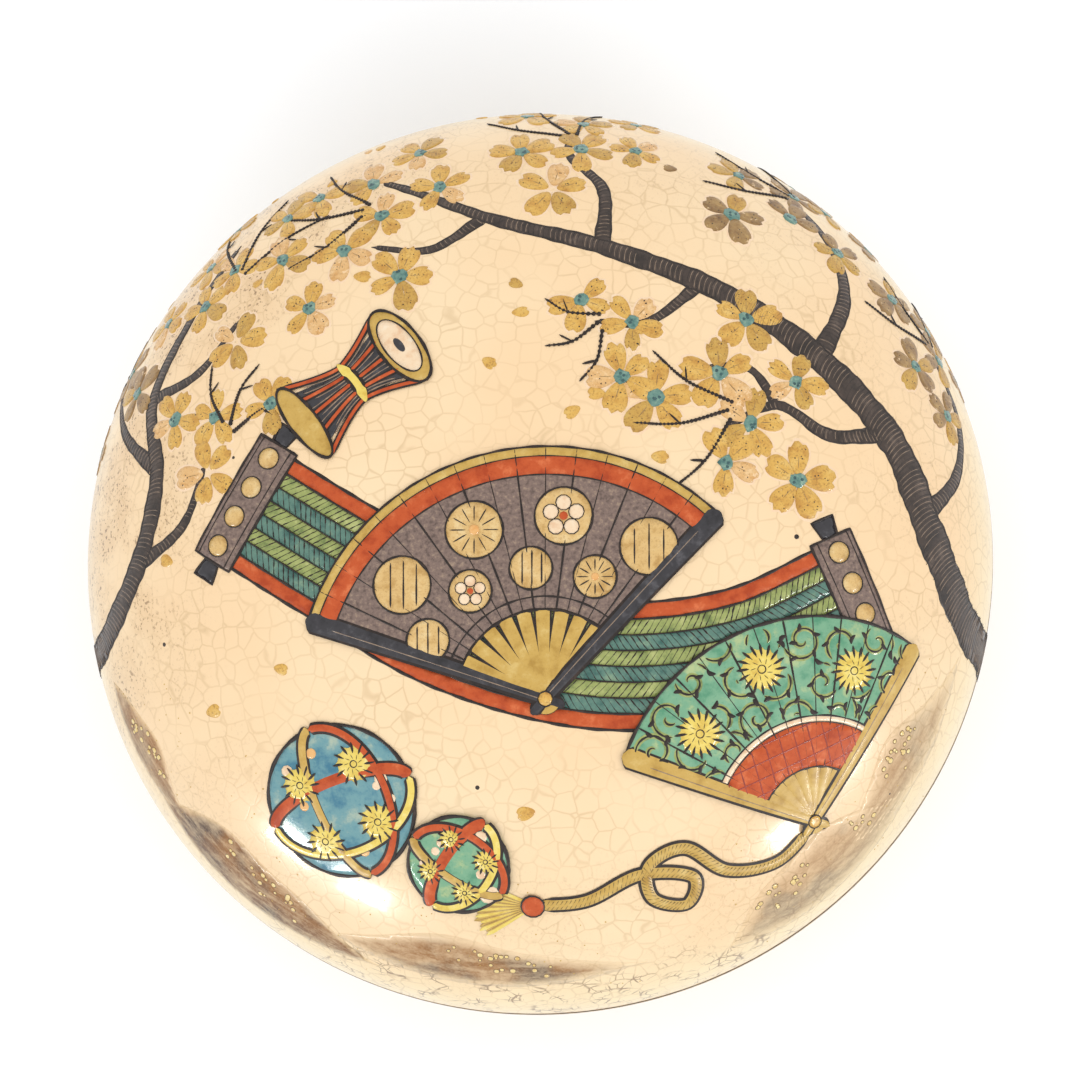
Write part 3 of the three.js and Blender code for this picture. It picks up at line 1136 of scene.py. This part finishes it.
def chrysanthemum(motif, place, radius, level, petals=16):
    """A yellow flower head with a dark fringe."""
    rim = circle(place, radius, 3 * petals)
    rim += (rim - place) * 0.08 * np.cos(np.arange(3 * petals) * 2 * math.pi / 3)[:, None]
    motif.fill(rim, YELLOW, level, height=0.05)
    over = level + 0.05
    for k in range(petals):
        fringe = ray(place, radius * 0.62, radius * 1.26, 360 * k / petals, 5)
        motif.hair(spaced(fringe, 0.3), 0.3, INK, over)
    motif.ink(circle(place, radius * 0.2, 12), 0.16, level + 0.055, closed=True)
    for k in range(9):
        inner_ray = ray(place, radius * 0.3, radius * 0.56, 40 * k + 12, 14)
        motif.hair(spaced(inner_ray, 0.2), 0.2, INK, over)


# Toys
def paint_ball(name, place, radius, ground, level, tilt):
    """A thread ball: crossing bands over a plain ground, with a flower in each field between them."""
    motif = Motif(name)
    outline = circle(place, radius, 48)
    motif.fill(outline, ground, level, height=0.16, edge=radius * 0.6)
    top = level + 0.16
    for _ in range(9):
        spot = polar(place, radius * math.sqrt(between(0.1, 0.75)), between(0, 360))
        motif.dot(spot, between(0.5, 0.9), chance.choice((ORANGE, BLUSH)), top, 0.02, 9)
    for k, (used, width) in enumerate(((VERMILION, 1.25), (YELLOW, 0.9), (OCHRE, 1.0), (VERMILION, 0.9))):
        half = arc((0, 0), radius, 0, 180, 44) * (1, 0.66 if k % 2 else 0.3)
        half = turned(half, tilt + 90 * (k // 2) + 180 * (k % 2), place)
        motif.edged(half, width, used, top, 0.45, (0.04, 0.05), taper=0.2)
    for k in range(4):
        chrysanthemum(motif, polar(place, radius * 0.56, tilt + 45 + 90 * k), radius * 0.22, top + 0.04, 12)
    motif.ink(outline, 0.4, level + 0.08, closed=True)
    motif.build()


def paint_drum():
    """A waisted hand drum in black lacquer, laced with vermilion cord."""
    motif = Motif("drum")
    place, angle, level = (-18, 15.5), 38, 0.1
    half, rim, waist = 6.6, 5.0, 2.2
    share = np.linspace(-1, 1, 25)
    along = share * half

    def put(x, y):
        return turned(np.column_stack([x, y]), angle, place)

    profile = waist + (rim * 0.78 - waist) * np.abs(share) ** 1.7
    motif.fill(np.vstack([put(along, profile), put(along[::-1], -profile[::-1])]), BLACK, level)
    for across in np.linspace(-0.85, 0.85, 11):
        streak = put(along * between(0.6, 0.9), profile * across)
        motif.ink(streak, 0.15, level + 0.06, enamel=BARK_LIGHT)
    for across in np.linspace(-1, 1, 5):
        cord = put(along, across * rim * (0.46 + 0.54 * np.abs(share) ** 1.4))
        motif.edged(cord, 0.5, VERMILION, level + 0.08, 0.3, (0.04, 0.06), step=0.02)
    wrap = put(0.5 * np.cos(share * 1.5), share * rim * 0.55)
    motif.edged(wrap, 1.15, YELLOW, level + 0.16, 0.45, (0.05, 0.06), step=0.02)
    for end, depth in ((-half, 1.5), (half, 2.2)):
        head = put(*(circle((0, 0), 1, 36) * (depth, rim) + (end, 0)).T)
        motif.outlined(head, OCHRE, level + 0.14, 0.34, 0.04)
    motif.outlined(scaled(head, 0.72), BLUSH, level + 0.23, 0.2, 0.01, height=0.03)
    motif.touch(scaled(head, 0.2), BLACK, level + 0.26)
    motif.build()


CORD_PLACES = [
    (33, -34), (29, -38), (23, -38.5), (18, -35.5), (14, -37.5), (14.5, -41.5), (18.5, -42.5), (19, -39),
    (13, -38.5), (7, -41.5), (1, -42),
]
STRANDS = 17


def paint_cord():
    """A twisted cord that runs from the green fan's pivot and ends in a tassel."""
    motif = Motif("cord")
    line = spaced(smooth(CORD_PLACES, 12), 0.35)
    motif.edged(line, 1.4, OCHRE, 0.1, 0.5, (0.06, 0.14), step=0.02)
    for k in range(2, len(line) - 2, 2):
        low, high = ray(line[k], -0.68, 0.68, heading(line[k + 1] - line[k - 1]) + 52)
        motif.hair([low, line[k], high], 0.15, INK, 0.24, 0.02)
    end = line[-1]
    for k in range(STRANDS):
        from_middle = k - STRANDS // 2
        strand = ray(end, 0.7, 6.4 + 0.3 * (k % 3), 184 + from_middle * 3.6, from_middle * 0.25)
        strand = spaced(strand, 0.4)
        motif.stroke(strand, 0.6, OCHRE if k % 2 else YELLOW, 0.12 + 0.01 * (k % 2), height=0.06)
        if k % 2:
            motif.hair(strand, 0.14, INK, 0.18, 0.02)
    motif.dot(end, 1.3, VERMILION, 0.22, 0.1, 14)
    motif.ink(circle(end, 1.3, 14), 0.26, 0.24, closed=True)
    motif.build()


# Gold ground. Each bank: the directions of its two ends in degrees, the reach and the rise of its middle, how
# strong its gold is, and the width of its thin edge
MISTS = [
    (197, 220, 55.0, 5.0, 0.9, 0.7), (213, 250, 56.0, 8.0, 1.0, 0.8), (243, 286, 53.0, 6.2, 0.9, 1.8),
    (296, 330, 56.8, 9.4, 0.62, 2.4), (316, 345, 55.0, 7.0, 0.62, 2.2),
]
MIST_STEPS = 60
MIST_SAG = 0.32
MIST_GRAINS = 4


def paint_mist():
    """Low banks of gold mist with tapered ends, and groups of raised gold grains along their upper edges."""
    motif = Motif("mist")
    share = np.linspace(0, 1, MIST_STEPS)
    hump = np.sin(math.pi * share ** 0.8) ** 1.15
    for start, end, middle, rise, strength, feather in MISTS:
        angle = start + (end - start) * share
        upper = middle - rise * hump * (0.92 + 0.08 * np.sin(share * 11 + start))
        lower = middle + rise * MIST_SAG * hump
        lower[1:-1] += [between(-0.12, 0.12) for _ in lower[1:-1]]

        def below_crest(k, depth):
            return polar((0, 0), upper[k] + depth, angle[k])

        crest, foot = polar((0, 0), upper, angle).T, polar((0, 0), lower, angle).T
        outline = np.vstack([crest, foot[-2:0:-1]])
        motif.fill(outline, MIST, -0.008, 0.012, 0.5, strength=strength, feather=feather)
        for _ in range(MIST_GRAINS):
            near = chance.randrange(12, 44)
            for _ in range(chance.randint(4, 8)):
                k = min(54, max(6, round(near + chance.gauss(0, 2.5))))
                place = below_crest(k, 0.9 + abs(chance.gauss(0, 0.22)) * (lower[k] - upper[k]))
                size = between(0.16, 0.36)
                motif.dot(place, size + 0.11, MIST_EDGE, 0.01, 0.03, 9)
                motif.dot(place, size, GRAIN_GOLD, 0.03, 0.06, 9)
        for _ in range(end - start):
            place = below_crest(chance.randrange(3, 57), between(-1.5, 1.0) * rise)
            motif.dot(place, between(0.06, 0.12), OCHRE, 0.01, 0.03, 5)
    motif.build()


FALLEN = [(14, 7), (7, 12.5), (-4, 18), (-27, -15), (-36, -20), (2, -31), (-39, -3), (-1, 23)]
IRON_SPOTS = [(-31.5, 8.2), (-9.2, 31), (8.6, 6), (-4.5, -28.4), (30, -1.5), (44, -31), (-41, -12)]


def paint_strewn():
    """Fallen petals in the open ground, and the glaze's few iron spots."""
    motif = Motif("strewn")
    for place in FALLEN:
        motif.touch(petal_outline(between(1.9, 2.5), between(0, 360), place), GOLD)
    for place in IRON_SPOTS:
        motif.dot(place, between(0.16, 0.32), BARK_LINE, -0.01, 0.03, 7)
    motif.build()


paint_mist()
paint_boughs()
paint_blossoms()
paint_scroll()
paint_purple_fan()
paint_green_fan()
paint_ball("blue_ball", place=(-20, -30), radius=8.6, ground=BLUE, level=0.1, tilt=20)
paint_ball("small_ball", place=(-7, -37), radius=5.6, ground=GREEN, level=0.34, tilt=55)
paint_drum()
paint_cord()
paint_strewn()


# Stage and light
FLOOR_HALF = 3.0
FLOOR_LEVEL = -0.1 * MM
FLOOR_COLOUR = (0.85, 0.86, 0.88, 1)
FLOOR_GLOW, GLOW_COLOUR = 0.15, (0.92, 0.96, 1, 1)
# A painted shadow on the floor: a patch behind the box where the floor glows less
PAINTED_SHADOW_PLACE = (-10, 50)
PAINTED_SHADOW_CORE, PAINTED_SHADOW_REACH = 6, 42
WORLD_STRENGTH = 1.16
LIGHT_DISTANCE = 0.7
PANE_AZIMUTHS = (-136, -122, -46, -31)
PANE_ELEVATION, PANE_SIZE, PANE_RADIANCE = 6.5, (0.11, 0.14), 40
FILL_ELEVATION, FILL_SIZE = 45, (0.5, 0.4)


def make_stage():
    """A white floor that glows a little for the camera, with a painted shadow: it glows less where the box's
    shadow falls.
    """
    shader = Shader("floor_white", FLOOR_COLOUR, 0.9, gloss=0.1)
    path = shader.node("LightPath").node.outputs
    seen_by = path["Is Camera Ray"]
    for kind in ("Is Glossy Ray", "Is Transmission Ray"):
        seen_by = shader.math("MAXIMUM", seen_by, path[kind])
    x, y, z = shader.place_parts()
    away = shader.length(shader.minus(x, PAINTED_SHADOW_PLACE[0]), shader.minus(y, PAINTED_SHADOW_PLACE[1]))
    glow = shader.times(seen_by, shader.ramp(away, PAINTED_SHADOW_CORE, PAINTED_SHADOW_REACH, 0.0, FLOOR_GLOW))
    shader.surface(Emission_Strength=glow, Emission_Color=GLOW_COLOUR)
    mesh = bpy.data.meshes.new("floor")
    corners = [(x * FLOOR_HALF, y * FLOOR_HALF, FLOOR_LEVEL) for x, y in ((-1, -1), (1, -1), (1, 1), (-1, 1))]
    mesh.from_pydata(corners, [], [(0, 1, 2, 3)])
    mesh.materials.append(shader.done())
    in_scene("floor", mesh)


def soft_light(name, azimuth, elevation, size, radiance, gloss_only=False):
    """A soft light of size (width, height) in metres that faces the lid from a direction given in degrees."""
    data = bpy.data.lights.new(name, "AREA")
    data.shape = "RECTANGLE"
    data.size, data.size_y = size
    data.energy = radiance * math.pi * size[0] * size[1]
    light = in_scene(name, data)
    away = Vector((0, -1, 0))
    away.rotate(Euler((-math.radians(elevation), 0, 0)))
    away.rotate(Euler((0, 0, math.radians(azimuth + 90))))
    light.location = Vector((0, 0, JOINT)) + away * LIGHT_DISTANCE
    light.rotation_mode = "QUATERNION"
    light.rotation_quaternion = (-away).to_track_quat("-Z", "Y")
    light.visible_diffuse = not gloss_only


def make_world():
    world = bpy.data.worlds.new("studio")
    bpy.context.scene.world = world
    world.use_nodes = True
    back = world.node_tree.nodes["Background"]
    back.inputs["Color"].default_value = (1, 1, 1, 1)
    back.inputs["Strength"].default_value = WORLD_STRENGTH


make_stage()
make_world()
for count, azimuth in enumerate(PANE_AZIMUTHS):
    soft_light(f"pane_{count}", azimuth, PANE_ELEVATION, PANE_SIZE, PANE_RADIANCE, gloss_only=True)
soft_light("left_fill", -120, FILL_ELEVATION, FILL_SIZE, 0.3)
soft_light("right_fill", -45, FILL_ELEVATION, FILL_SIZE, 0.8)

bpy.context.scene.view_settings.view_transform = "Standard"
